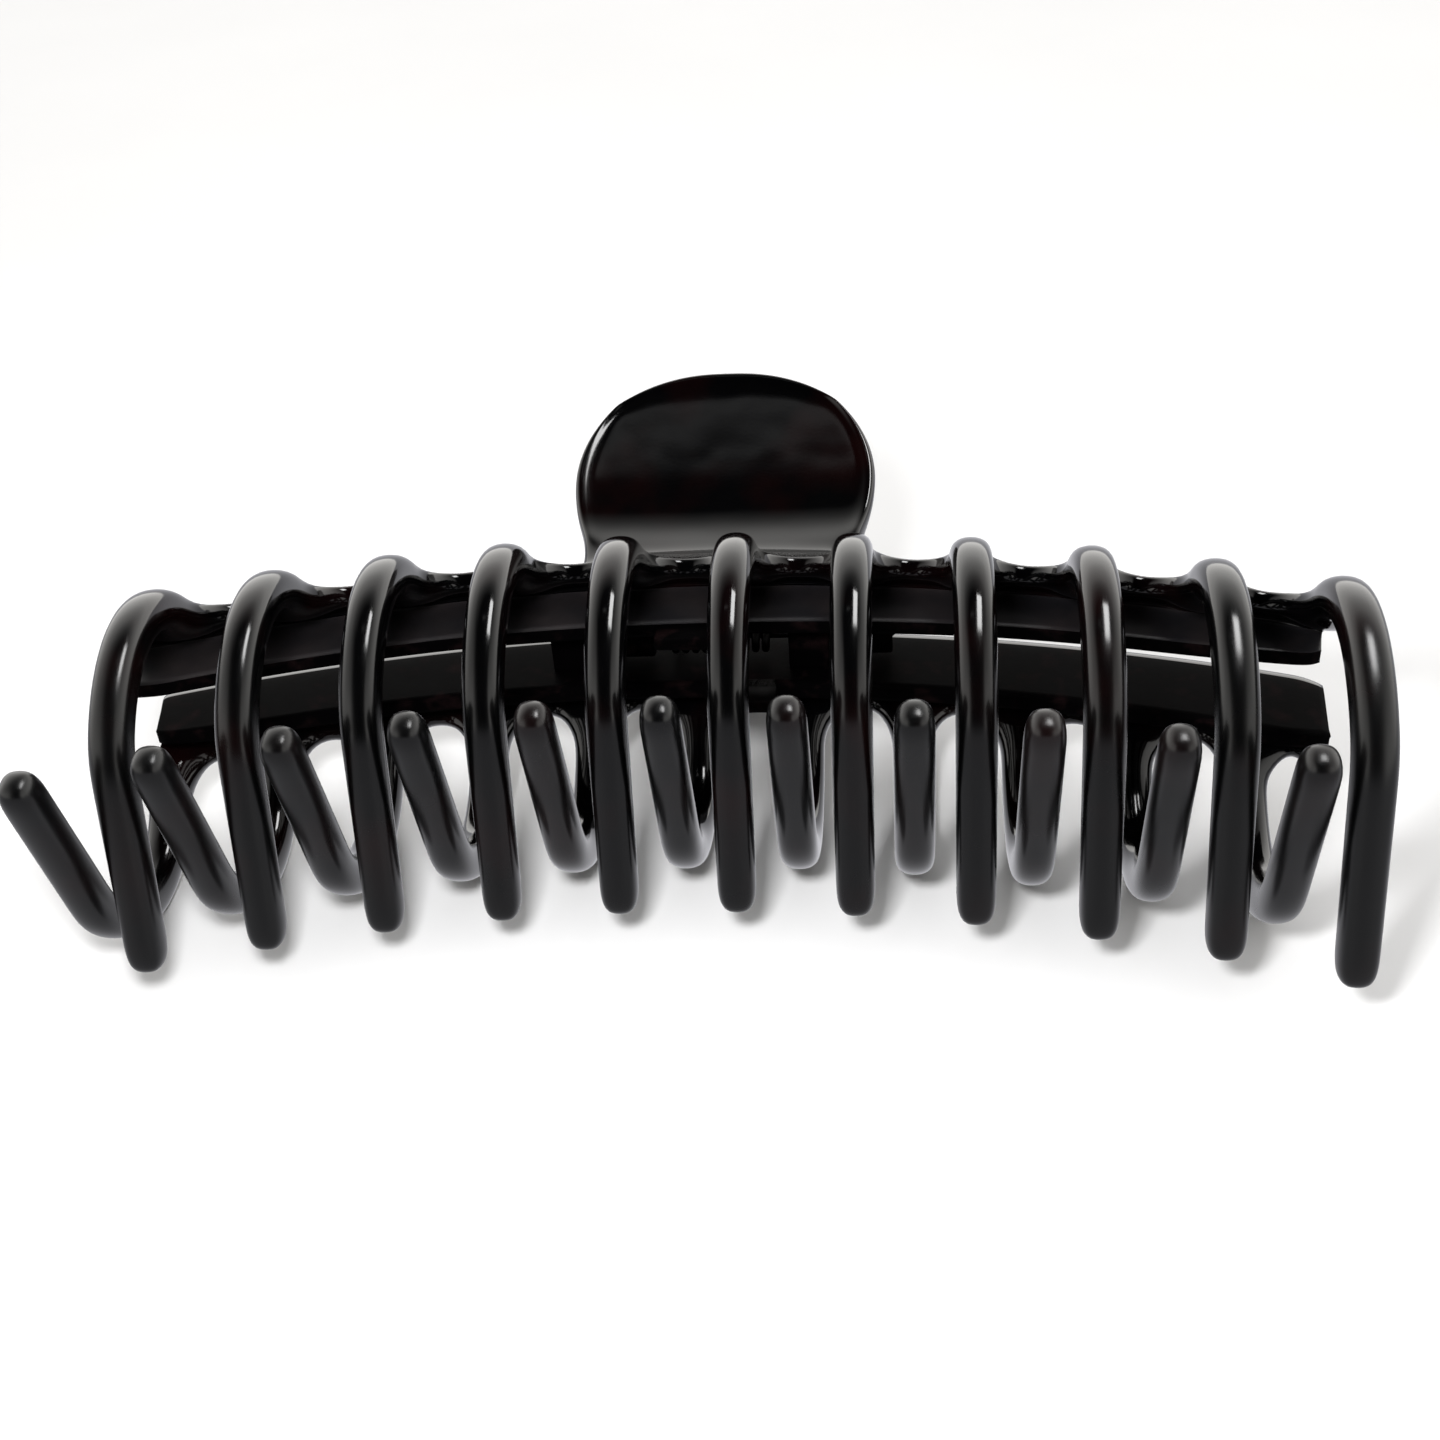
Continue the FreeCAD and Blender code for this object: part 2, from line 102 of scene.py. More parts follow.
hinge = Vector(frame["joints"][0]["pos_m"]) / MM
JAW_Y = hinge.y - HINGE_RISE
JAW_Z = hinge.z


def in_row(point, upside_down):
    """A jaw frame point (x, v, u) in millimetres as a row frame point in metres."""
    x, v, u = point
    side = -1 if upside_down else 1
    return Vector((side * x, JAW_Y + v, JAW_Z + side * u)) * MM


def arch_drop(x):
    """How far the arch has fallen below its crown at x."""
    return ARCH_RADIUS - math.sqrt(ARCH_RADIUS ** 2 - x * x)


def on_arch(x, v, u):
    """A spine point: x is where its radius crosses the arch, and v is along that radius."""
    angle = math.asin(x / ARCH_RADIUS)
    reach = ARCH_RADIUS + v
    return Vector((reach * math.sin(angle), reach * math.cos(angle) - ARCH_RADIUS, u))


def tooth_x(number):
    """The roots stand at an even pitch along the arch."""
    along_arch = (number - (TOOTH_COUNT + 1) / 2) * TOOTH_PITCH + TOOTH_PITCH / 4
    return ARCH_RADIUS * math.sin(along_arch / ARCH_RADIUS)


# ---------------------------------------------------------------- tooth shape

def tooth_line(run):
    """(v, u, heading) on a tooth's centreline. Heading is 0 outwards, and falls as it curls."""
    v, u, heading = ROOT_V, ROOT_U, math.radians(ROOT_HEADING)
    for radius, turn in TOOTH_ARCS:
        part = min(math.radians(turn), run / radius)
        centre_v, centre_u = v - radius * math.cos(heading), u + radius * math.sin(heading)
        heading -= part
        v, u = centre_v + radius * math.cos(heading), centre_u - radius * math.sin(heading)
        run -= part * radius
        if run <= TINY:
            return v, u, heading
    return v + run * math.sin(heading), u + run * math.cos(heading), heading


def tooth_length():
    return sum(radius * math.radians(turn) for radius, turn in TOOTH_ARCS) + TIP_RUN


def tooth_rings():
    """[(v, u, heading, half width, half depth)] from the base to the tip."""
    length = tooth_length()
    stations = [(run, 1.0) for run in RING_RUNS]
    stations += [(length - back, narrow) for back, narrow in TIP_RINGS]
    centres = [tooth_line(run) for run, _ in stations]
    rings = []
    for i, (run, narrow) in enumerate(stations):
        v, u, heading = centres[i]
        if 0 < i < len(centres) - 1:
            # Subdivision pulls a bend in by this much, so the cage stands out by as much.
            before, after = centres[i - 1], centres[i + 1]
            v += (2 * v - before[0] - after[0]) / 6
            u += (2 * u - before[1] - after[1]) / 6
        share = run / length
        half_width = TOOTH_HALF_WIDTH * (ROOT_SWELL - WIDTH_TAPER * share)
        half_depth = TOOTH_HALF_DEPTH * (1.0 - DEPTH_TAPER * share)
        rings.append((v, u, heading, half_width * narrow, half_depth * narrow))
    return rings


def tooth_ring_points(number, ring):
    """Outer, inner and side points of one ring of a tooth, in the jaw frame."""
    v, u, heading, half_width, half_depth = ring
    middle = tooth_x(number)
    v = v - arch_drop(middle)
    out_v, out_u = math.cos(heading) * half_depth, -math.sin(heading) * half_depth
    outer, inner = [], []
    for side in (-1, 0, 1):
        x = middle + side * half_width * TOOTH_CORNER
        full = TOOTH_CORNER if side else TOOTH_CROWN
        outer.append(Vector((x, v + out_v * full, u + out_u * full)))
        inner.append(Vector((x, v - out_v * full, u - out_u * full)))
    left, right = (Vector((middle + side * half_width * TOOTH_FLANK, v, u)) for side in (-1, 1))
    return outer, inner, left, right


# ---------------------------------------------------------------- spine section

WEB_BOTTOM = -2.8
WEB_TILT = 0.009
FAR_TILT = 0.02
FAR_RISE, FAR_START, FAR_RUN = 1.3, 46.0, 15.0
BELLY_DROP, BELLY_HALF = 0.3, 28.0
WEB_INNER, WEB_OUTER = 3.4, 4.9

# The section as a loop of (v, u) points, with their numbers.
SECTION = [
    (WEB_BOTTOM, WEB_INNER), (WEB_BOTTOM, WEB_OUTER),  # 0, 1: the web's lower edge
    (1.2, WEB_OUTER),  # 2: the web's outer face
    (4.2, 5.05), (3.2, 6.3), (1.7, 7.45),  # 3 to 5: the underside of the roof
    (0.74, 8.25), (1.3, 9.1), (2.0, 9.8),  # 6 to 8: the lip that the teeth grow from
    (2.9, 9.05), (4.5, 7.6), (6.4, 6.1),  # 9 to 11: the top of the roof
    (8.0, 5.0), (8.4, 4.1), (7.6, WEB_INNER),  # 12 to 14: the ridge that the pad grows from
    (2.5, WEB_INNER),  # 15: the web's inner face
]
WEB_EDGE = (0, 1)
UNDER_MIDDLE, UNDER_OUT = 4, 5
LIP = LIP_INNER, LIP_EDGE, LIP_OUTER = 6, 7, 8
ROOF_OUT, ROOF_MIDDLE = 9, 10
RIDGE = (12, 13, 14)

# Below the pad the roof fills out. Point number: (v, u).
PAD_FILLET = {12: (6.95, 7.55), 11: (5.2, 7.95), 10: (3.9, 8.65)}
FILLET_HALF = PAD_HALF_WIDTH - 3

# Lines this far each side of a tooth's middle, where the lip reaches out to meet it.
NEAR_TOOTH = 3.6
NEAR_REACH = 0.55
NEAR_DROP = 0.3 * NEAR_REACH
FIRST_EXTRA = 0.3  # the line outside the first tooth is this much further off
SQUEEZE_RUN = 3.6  # the web and ridge are squeezed over this much at the last tooth

# How the roof meets a tooth's root.
ROOT_PULL = 0.7
UNDER_SHIFT = Vector((0, -1.2, 0.1))
ROOF_SHIFT = Vector((0, 0.15, 0.35))


def column_lines():
    """[(x, tooth number or None, place)]: where along X the spine has a section."""
    lines = [(-SPINE_HALF, None, "end")]
    for number in range(1, TOOTH_COUNT + 1):
        x = tooth_x(number)
        if number > 1:
            lines.append(((x + tooth_x(number - 1)) / 2, None, "slot"))
            lines.append((x - NEAR_TOOTH, None, "near"))
        else:
            lines.append((x - NEAR_TOOTH - FIRST_EXTRA, None, "edge"))
        for place, offset in (("left", -1), ("middle", 0), ("right", 1)):
            lines.append((x + offset * TOOTH_HALF_WIDTH, number, place))
        if number < TOOTH_COUNT:
            lines.append((x + NEAR_TOOTH, None, "near"))
    return lines


def squeezed(x):
    """The web and ridge stop short of the last tooth's outer side."""
    start = SPINE_HALF - SQUEEZE_RUN
    full = tooth_x(TOOTH_COUNT) + TOOTH_HALF_WIDTH
    return x if x < start else start + (x - start) * (SPINE_HALF - start) / (full - start)


def web_bottom(x):
    """The web plate's lower edge: deepest at the middle, and cut back at the far end."""
    belly = BELLY_DROP * max(0.0, 1 - (x / BELLY_HALF) ** 2)
    tilt = FAR_TILT if x > 0 else WEB_TILT
    far = max(0.0, (x - FAR_START) / FAR_RUN)
    return WEB_BOTTOM + tilt * x - belly + FAR_RISE * far ** 2


def line_section(x, place, at_end):
    """The section's (v, u) points at one line, before they go on the arch."""
    section = list(SECTION)
    bottom = web_bottom(x) + (CORNER_CUT if at_end else 0.0)
    for i in WEB_EDGE:
        section[i] = (bottom, section[i][1])
    if at_end:
        for i in RIDGE:
            section[i] = (section[i][0] - CORNER_CUT, section[i][1])
    if place == "near":
        for i in LIP:
            v, u = section[i]
            section[i] = (v - NEAR_DROP, u + NEAR_REACH)
    return section


def section_points(line):
    """The spine's section loop at one line, in the jaw frame."""
    x, number, place = line
    first = place == "end"
    last = number == TOOTH_COUNT and place == "right"
    points = []
    for i, (v, u) in enumerate(line_section(x, place, first or last)):
        by_lip = UNDER_OUT <= i <= ROOF_OUT
        point = on_arch(x if by_lip else squeezed(x), v, u)
        if first:
            outwards = max(0.0, (u - WEB_OUTER) / (SECTION[LIP_OUTER][1] - WEB_OUTER))
            point.x = START_X + START_SLANT * v + END_TAPER * outwards
        elif last and not by_lip:
            point.x = FINISH_X + FINISH_SLANT * v
        points.append(point)
    if abs(x) < FILLET_HALF:
        for i, (v, u) in PAD_FILLET.items():
            points[i] = on_arch(squeezed(x), v, u)
    if number:
        shape_tooth_root(points, number, place)
    return points


def shape_tooth_root(points, number, place):
    """The tooth's own section takes over from the roof at its root."""
    column = ("left", "middle", "right").index(place)
    root = (*tooth_line(0.0), TOOTH_HALF_WIDTH, TOOTH_HALF_DEPTH)
    outer, inner, _, _ = tooth_ring_points(number, root)
    points[ROOF_OUT] = points[ROOF_OUT].lerp(outer[column], ROOT_PULL)
    points[UNDER_OUT] = points[UNDER_OUT].lerp(inner[column], ROOT_PULL)
    points[UNDER_MIDDLE] += UNDER_SHIFT
    points[ROOF_MIDDLE] += ROOF_SHIFT
    outer, inner, left, right = tooth_ring_points(number, tooth_rings()[0])
    points[LIP_OUTER], points[LIP_INNER] = outer[column], inner[column]
    points[LIP_EDGE] = (left, (left + right) / 2, right)[column]


# ---------------------------------------------------------------- thumb pad shape

# Lower rows are (distance up the pad, half width). Upper rows close in to a round top.
LOWER_ROWS = ((3.0, 15.0), (4.8, 15.5), (7.4, 16.3), (PAD_MIDDLE, PAD_HALF_WIDTH))
UPPER_ROWS = (0.25, 0.5, 0.73, 0.915, 1.0)
PAD_FULLNESS = 0.05
PAD_RIM = 0.075
PAD_EDGE = 0.35  # the sides and the top stand out this far beyond the faces
FLARE_REACH = 9.6
FLARE_RISE = 3.7


def pad_point(x, along, out):
    v = PAD_BASE_V + along * math.cos(PAD_LEAN) - out * math.sin(PAD_LEAN)
    u = PAD_BASE_U + along * math.sin(PAD_LEAN) + out * math.cos(PAD_LEAN)
    return Vector((x, v, u))


def pad_columns(count):
    """Places across the pad from -1 to 1, with a narrow rim cell at each side."""
    cells = count - 3
    first, span = -1 + PAD_RIM, 2 * (1 - PAD_RIM)
    return [-1.0] + [first + span * k / cells for k in range(cells + 1)] + [1.0]


def pad_places(count):
    """Rows of (x, distance up the pad, 1 at the rim and less inside it), from base to top."""
    across = pad_columns(count)
    places = [[(half * a, along, abs(a)) for a in across] for along, half in LOWER_ROWS]
    for b in UPPER_ROWS:
        row = []
        for a in across:
            full = 1 + PAD_FULLNESS * abs(a) * b
            x = full * PAD_HALF_WIDTH * a * math.sqrt(1 - b * b / 2)
            along = PAD_MIDDLE + full * PAD_TOP * b * math.sqrt(1 - a * a / 2)
            row.append((x, along, max(abs(a), b)))
        places.append(row)
    return places


def pad_rows(count):
    """Rows of (outer points, inner points, left side, right side) from base to top."""
    rows = []
    for row in pad_places(count):
        outer, inner = [], []
        for x, along, edge in row:
            bowl = (x / DISH_ACROSS) ** 2 + ((along - DISH_CENTRE) / DISH_ALONG) ** 2
            dip = DISH_DEPTH * (1 - bowl) if edge < 1 - TINY else 0.0
            flare = FLARE_RISE * max(0.0, 1 - along / FLARE_REACH) ** 2
            outer.append(pad_point(x, along, PAD_HALF_THICK - dip + flare))
            inner.append(pad_point(x, along, -PAD_HALF_THICK))
        left, right = (pad_point(*row[k][:2], 0.0) for k in (0, -1))
        left.x -= PAD_EDGE
        right.x += PAD_EDGE
        rows.append((outer, inner, left, right))
    return rows


# ---------------------------------------------------------------- mesh tools

# Material slots: the polished and satin finishes, and the painted shade of the recess.
POLISHED, SATIN, PAINTED_SHADE = 0, 1, 2


def add_face(bm, corners, finish=POLISHED):
    """A face with its finish or painted shade, unless too few of its corners are different."""
    unique = list(dict.fromkeys(corners))
    if len(unique) > 2:
        bm.faces.new(unique).material_index = finish


def join_rings(bm, near, far):
    """A band of faces between two closed rings of vertices."""
    for k in range(len(near)):
        n = (k + 1) % len(near)
        add_face(bm, [near[k], near[n], far[n], far[k]])


def skin_rings(bm, rings):
    """A closed skin over a row of rings, with a flat cap at each end."""
    for near, far in zip(rings, rings[1:]):
        join_rings(bm, near, far)
    add_face(bm, rings[0])
    add_face(bm, rings[-1])


def spokes(count):
    """The cosine and sine of evenly spaced angles, once round."""
    angles = [2 * math.pi * k / count for k in range(count)]
    return [(math.cos(angle), math.sin(angle)) for angle in angles]


def grow_sheet(bm, base, rows, top):
    """Grow a thick sheet from an opening: rows of outer and inner points, then a closed top."""
    outer, inner, left, right = base
    for new_outer, new_inner, new_left, new_right in rows:
        new_outer = [bm.verts.new(p) for p in new_outer]
        new_inner = [bm.verts.new(p) for p in new_inner]
        new_left, new_right = bm.verts.new(new_left), bm.verts.new(new_right)
        for k in range(len(outer) - 1):
            add_face(bm, [outer[k], outer[k + 1], new_outer[k + 1], new_outer[k]])
            add_face(bm, [inner[k + 1], inner[k], new_inner[k], new_inner[k + 1]])
        add_face(bm, [outer[0], new_outer[0], new_left, left])
        add_face(bm, [left, new_left, new_inner[0], inner[0]])
        add_face(bm, [outer[-1], right, new_right, new_outer[-1]])
        add_face(bm, [right, inner[-1], new_inner[-1], new_right])
        outer, inner, left, right = new_outer, new_inner, new_left, new_right
    middle = [left] + [bm.verts.new(p) for p in top] + [right]
    for k in range(len(outer) - 1):
        add_face(bm, [outer[k], outer[k + 1], middle[k + 1], middle[k]])
        add_face(bm, [middle[k], middle[k + 1], inner[k + 1], inner[k]])


def link_mesh(name, bm):
    """The bmesh as a smooth-shaded object in the scene."""
    mesh = bpy.data.meshes.new(name)
    bm.to_mesh(mesh)
    bm.free()
    mesh.polygons.foreach_set("use_smooth", [True] * len(mesh.polygons))
    thing = bpy.data.objects.new(name, mesh)
    bpy.context.scene.collection.objects.link(thing)
    return thing


def subdivided(bm, levels):
    """The bmesh after Catmull-Clark subdivision, as a new bmesh."""
    cage = link_mesh("cage", bm)
    smoothing = cage.modifiers.new("subdivision", "SUBSURF")
    smoothing.levels = smoothing.render_levels = levels
    smoothing.use_limit_surface = True
    depsgraph = bpy.context.evaluated_depsgraph_get()
    mesh = bpy.data.meshes.new_from_object(cage.evaluated_get(depsgraph))
    result = bmesh.new()
    result.from_mesh(mesh)
    bpy.data.objects.remove(cage)
    bpy.data.meshes.remove(mesh)
    return result


# ---------------------------------------------------------------- jaw cage

# The faces that close an end of the spine, by the numbers of their section points.
END_FACES = (
    (0, 1, 2, 15), (15, 2, 3, 14), (14, 3, 12, 13), (3, 4, 11, 12),
    (4, 5, 10, 11), (5, 6, 9, 10), (6, 7, 8, 9),
)
SUBDIVISIONS = 2
WEB_CREASE, END_CREASE = 1.0, 0.9
# The finish of each strip that isn't polished, by the section point that it starts at. The web's
# inner face and its lower edge get painted shade instead of a finish.
FINISHES_AND_SHADE = {0: PAINTED_SHADE, 1: SATIN, 2: SATIN, 14: PAINTED_SHADE, 15: PAINTED_SHADE}
# The pad's opening ends at the middle of the seventh tooth, and as far the other way.
PAD_OPENING_HALF = tooth_x(7) + 0.01


def skin_spine(bm, lines, loops, pad_lines):
    """The spine's skin with its ends, open where the teeth and the pad grow out."""
    size = len(SECTION)
    for i in range(len(lines) - 1):
        on_tooth = lines[i][1] is not None and lines[i][1] == lines[i + 1][1]
        on_pad = i in pad_lines and i + 1 in pad_lines
        for p in range(size):
            if on_tooth and p in LIP[:2] or on_pad and p in RIDGE[:2]:
                continue
            q = (p + 1) % size
            corners = [loops[i][p], loops[i][q], loops[i + 1][q], loops[i + 1][p]]
            add_face(bm, corners, FINISHES_AND_SHADE.get(p, POLISHED))
    for loop in (loops[0], loops[-1]):
        for corners in END_FACES:
            add_face(bm, [loop[c] for c in corners])


def grow_tooth(bm, number, columns):
    """One tooth, from the opening in the lip between its three lines."""
    base = ([loop[LIP_OUTER] for loop in columns], [loop[LIP_INNER] for loop in columns],
            columns[0][LIP_EDGE], columns[-1][LIP_EDGE])
    rows = [tooth_ring_points(number, ring) for ring in tooth_rings()[1:]]
    tip_v, tip_u, _ = tooth_line(tooth_length() + TIP_DOME)
    x = tooth_x(number)
    grow_sheet(bm, base, rows, [Vector((x, tip_v - arch_drop(x), tip_u))])


def grow_pad(bm, columns):
    """The thumb pad, from the opening in the ridge."""
    outer, edge, inner = ([loop[p] for loop in columns] for p in RIDGE)
    rows = pad_rows(len(columns))
    rise = pad_point(0, PAD_EDGE, 0) - pad_point(0, 0, 0)
    last_outer, last_inner = rows[-1][:2]
    top = [(o + i) / 2 + rise for o, i in zip(last_outer[1:-1], last_inner[1:-1])]
    grow_sheet(bm, (outer, inner, edge[0], edge[-1]), rows, top)


def crease_spine(bm, loops, crease):
    """Creases keep the web's lower edge and the outlines of both ends crisp."""
    for near, far in zip(loops, loops[1:]):
        for p in WEB_EDGE:
            bm.edges.get((near[p], far[p]))[crease] = WEB_CREASE
    for loop in (loops[0], loops[-1]):
        for near, far in zip(loop, loop[1:] + loop[:1]):
            bm.edges.get((near, far))[crease] = END_CREASE


def jaw_cage():
    """The control cage of one jaw moulding, as a bmesh in the jaw frame."""
    bm = bmesh.new()
    crease = bm.edges.layers.float.new("crease_edge")
    lines = column_lines()
    loops = [[bm.verts.new(p) for p in section_points(line)] for line in lines]
    pad_lines = [i for i, line in enumerate(lines) if abs(line[0]) <= PAD_OPENING_HALF]
    skin_spine(bm, lines, loops, pad_lines)
    for number in range(1, TOOTH_COUNT + 1):
        grow_tooth(bm, number, [loop for loop, line in zip(loops, lines) if line[1] == number])
    grow_pad(bm, [loops[i] for i in pad_lines])
    bmesh.ops.delete(bm, geom=[v for v in bm.verts if not v.link_faces], context="VERTS")
    crease_spine(bm, loops, crease)
    bmesh.ops.recalc_face_normals(bm, faces=bm.faces)
    return bm


# ---------------------------------------------------------------- hinge eyes

EYE_RADIUS = 2.9
EYE_ROOT = 3.9
BORE_RADIUS = 1.15
EYE_SPANS = ((12.2, 18.6), (-11.8, -7.4))
EYE_STEPS = 56
EDGE_ROUND = 0.28
EDGE_PART = 0.3 * EDGE_ROUND


def eye_reach(c, s):
    """Distance from the pin to the eye's outline on one spoke.

    The outline is round on the side of the other jaw, and straight out to the web.
    """
    if s <= 0:
        return EYE_RADIUS
    return min(EYE_RADIUS / max(abs(c), TINY), EYE_ROOT / max(s, TINY))


def add_eye(bm, start, end):
    """One hinge eye with rounded rims and a bore."""
    stations = (
        (start, EDGE_ROUND), (start + EDGE_PART, EDGE_PART), (start + EDGE_ROUND, 0),
        (end - EDGE_ROUND, 0), (end - EDGE_PART, EDGE_PART), (end, EDGE_ROUND),
    )
    shells = []
    for x, inset in stations:
        outer, bore = [], []
        for c, s in spokes(EYE_STEPS):
            for ring, reach in ((outer, eye_reach(c, s) - inset), (bore, BORE_RADIUS + inset)):
                ring.append(bm.verts.new((x, HINGE_RISE + reach * c, reach * s)))
        shells.append((outer, bore))
    for (outer_a, bore_a), (outer_b, bore_b) in zip(shells, shells[1:]):
        join_rings(bm, outer_a, outer_b)
        join_rings(bm, bore_b, bore_a)
    for outer, bore in (shells[0], shells[-1]):
        join_rings(bm, outer, bore)


# ---------------------------------------------------------------- stop tab

TAB_HALF = 3.3
TAB_DROP = 3.3
TAB_ROUND = 0.5
TAB_ROOT = 1.0  # how far the tab reaches up into the web
TAB_SOFT = 0.2
CORNER_STEPS = 4


def tab_outline(inset):
    """The tab as (x, v) points: square inside the web, with rounded lower corners."""
    low = WEB_BOTTOM - TAB_DROP + inset
    half = TAB_HALF - inset
    points = [(-half, WEB_BOTTOM + TAB_ROOT), (half, WEB_BOTTOM + TAB_ROOT)]
    for side, begin in ((1, 0), (-1, 90)):
        for step in range(CORNER_STEPS + 1):
            angle = math.radians(begin + 90 * step / CORNER_STEPS)
            across = side * (half - TAB_ROUND) + TAB_ROUND * math.cos(angle)
            points.append((across, low + TAB_ROUND - TAB_ROUND * math.sin(angle)))
    return points


def add_stop_tab(bm):
    """The tab below the web at the slot nearest the middle, with softened edges."""
    middle = -TOOTH_PITCH / 4
    stations = (
        (WEB_INNER, TAB_SOFT), (WEB_INNER + TAB_SOFT, 0),
        (WEB_OUTER - TAB_SOFT, 0), (WEB_OUTER, TAB_SOFT),
    )
    rings = [[bm.verts.new((middle + x, v, u)) for x, v in tab_outline(inset)]
             for u, inset in stations]
    skin_rings(bm, rings)


# ---------------------------------------------------------------- jaws

def make_jaw(body, upside_down, materials):
    """One whole jaw: the moulding with its teeth and pad, its eyes and its stop tab."""
    bm = subdivided(jaw_cage(), SUBDIVISIONS)
    smooth_faces = len(bm.faces)
    for start, end in EYE_SPANS:
        add_eye(bm, start, end)
    add_stop_tab(bm)
    bm.faces.ensure_lookup_table()
    # The eyes and the stop tab, in the recess between the jaws, all get the painted shade.
    for face in bm.faces[smooth_faces:]:
        face.material_index = PAINTED_SHADE
    for vertex in bm.verts:
        vertex.co = in_row(vertex.co, upside_down)
    bmesh.ops.recalc_face_normals(bm, faces=bm.faces)
    jaw = link_mesh(f"{body}_moulding", bm)
    for material in materials:
        jaw.data.materials.append(material)
    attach(jaw, body)
    prefix = body.split("_")[0]
    teeth = [f"{prefix}_tooth_{i:02d}" for i in range(1, TOOTH_COUNT + 1)]
    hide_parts(f"{prefix}_spine", f"{prefix}_thumb_pad", *teeth)


# ---------------------------------------------------------------- torsion spring

WIRE_RADIUS = 0.45
WIRE_SIDES = 14
WIRE_DOME = ((0.85, 0.4), (0.5, 0.8))  # (distance past the end, size), in wire radii
COIL_RADIUS = 2.2
COIL_PITCH = 1.1
COIL_TURNS = 9.5
COIL_HALF = COIL_PITCH * COIL_TURNS / 2
COIL_STEPS = 24
LEG_RISE = 5.0
LEG_LENGTH = 9.0
LEG_STEPS = 6
# The knee is rounded off by points before, at and after it.
KNEE_REACH = 0.9
KNEE_NEAR, KNEE_DROP, KNEE_SWING = 0.25, 0.2, 0.08


def leg_points(side):
    """One leg from its tip to the coil: along the back of the thumb pad, then down to the coil."""
    start = Vector((side * COIL_HALF, 0, side * COIL_RADIUS))
    knee = start + Vector((0, LEG_RISE, side * WIRE_RADIUS))
    lean = Vector((0, math.cos(PAD_LEAN), side * math.sin(PAD_LEAN)))
    points = [knee + lean * LEG_LENGTH * k / LEG_STEPS for k in range(LEG_STEPS, 1, -1)]
    points.append(knee + lean * KNEE_REACH)
    points.append(knee + lean * KNEE_NEAR - Vector((0, KNEE_DROP, 0)))
    points.append(knee - Vector((0, KNEE_REACH, KNEE_SWING * side)))
    points += [start.lerp(knee, share) for share in (0.6, 0.4, 0.2)]
    return points


def spring_path():
    """The wire's path about the pin: one leg, the coil, and the other leg."""
    points = leg_points(-1)
    for k in range(int(COIL_TURNS * COIL_STEPS) + 1):
        angle = 2 * math.pi * k / COIL_STEPS
        x = -COIL_HALF + COIL_PITCH * k / COIL_STEPS
        points.append(Vector((x, -COIL_RADIUS * math.sin(angle), -COIL_RADIUS * math.cos(angle))))
    points += reversed(leg_points(1))
    return points


def path_directions(points):
    last = len(points) - 1
    spans = [points[min(i + 1, last)] - points[max(i - 1, 0)] for i in range(last + 1)]
    return [span.normalized() for span in spans]


def add_tube(bm, points, radius, sides):
    """A round tube along a path, closed by domed ends."""
    directions = path_directions(points)
    across = directions[0].orthogonal().normalized()
    rings = []
    for i, (point, ahead) in enumerate(zip(points, directions)):
        across = (across - ahead * across.dot(ahead)).normalized()
        other = ahead.cross(across)
        stations = [(0.0, 1.0)]
        if i == 0:
            stations = [(-shift, size) for shift, size in WIRE_DOME] + stations
        if i == len(points) - 1:
            stations += reversed(WIRE_DOME)
        for shift, size in stations:
            centre = point + ahead * radius * shift
            rings.append([bm.verts.new(centre + (across * c + other * s) * radius * size)
                          for c, s in spokes(sides)])
    skin_rings(bm, rings)


def make_spring(material):
    """The torsion spring between the two jaws."""
    bm = bmesh.new()
    path = [in_row((p.x, p.y + HINGE_RISE, p.z), False) for p in spring_path()]
    add_tube(bm, path, WIRE_RADIUS * MM, WIRE_SIDES)
    bmesh.ops.recalc_face_normals(bm, faces=bm.faces)
    spring = link_mesh("spring_wire", bm)
    spring.data.materials.append(material)
    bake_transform(spring)
    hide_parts("torsion_spring")


# ---------------------------------------------------------------- hinge pin

PIN_HALF = 19.0
PIN_RADIUS = 1.1
PIN_END = ((0.0, 0.6), (0.08, 0.85), (0.35, PIN_RADIUS))  # (distance from the end, radius)
KNURL_RADIUS = 1.17
KNURL_DEPTH = 0.07
KNURL_MIDDLE = 15.4
KNURL_HALF = 2.0
KNURL_BEFORE, KNURL_AFTER = 0.05, 0.15  # the knurl rises between these, about its ends
PIN_SIDES = 48


def pin_profile():
    """(x, radius, is it knurled) along the pin, with chamfered ends."""
    near, far = KNURL_MIDDLE - KNURL_HALF, KNURL_MIDDLE + KNURL_HALF
    first = [(-PIN_HALF + step, radius, False) for step, radius in PIN_END]
    knurl = [
        (near - KNURL_BEFORE, PIN_RADIUS, False), (near + KNURL_AFTER, KNURL_RADIUS, True),
        (far - KNURL_AFTER, KNURL_RADIUS, True), (far + KNURL_BEFORE, PIN_RADIUS, False),
    ]
    last = [(PIN_HALF - step, radius, False) for step, radius in reversed(PIN_END)]
    return first + knurl + last


def make_pin(material):
    """The pin, with fine axial ridges where the lower jaw grips it."""
    bm = bmesh.new()
    rings = []
    for x, radius, knurled in pin_profile():
        ring = []
        for k, (c, s) in enumerate(spokes(PIN_SIDES)):
            reach = radius - (KNURL_DEPTH if knurled and k % 2 else 0.0)
            point = (-x, HINGE_RISE + reach * c, reach * s)
            ring.append(bm.verts.new(in_row(point, True)))
        rings.append(ring)
    skin_rings(bm, rings)
    bmesh.ops.recalc_face_normals(bm, faces=bm.faces)
    pin = link_mesh("steel_pin", bm)
    pin.data.materials.append(material)
    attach(pin, "lower_jaw")
    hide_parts("hinge_pin")


# ---------------------------------------------------------------- shader nodes

def new_material(name):
    material = bpy.data.materials.new(name)
    material.use_nodes = True
    nodes, links = material.node_tree.nodes, material.node_tree.links
    return material, nodes, links, nodes["Principled BSDF"]


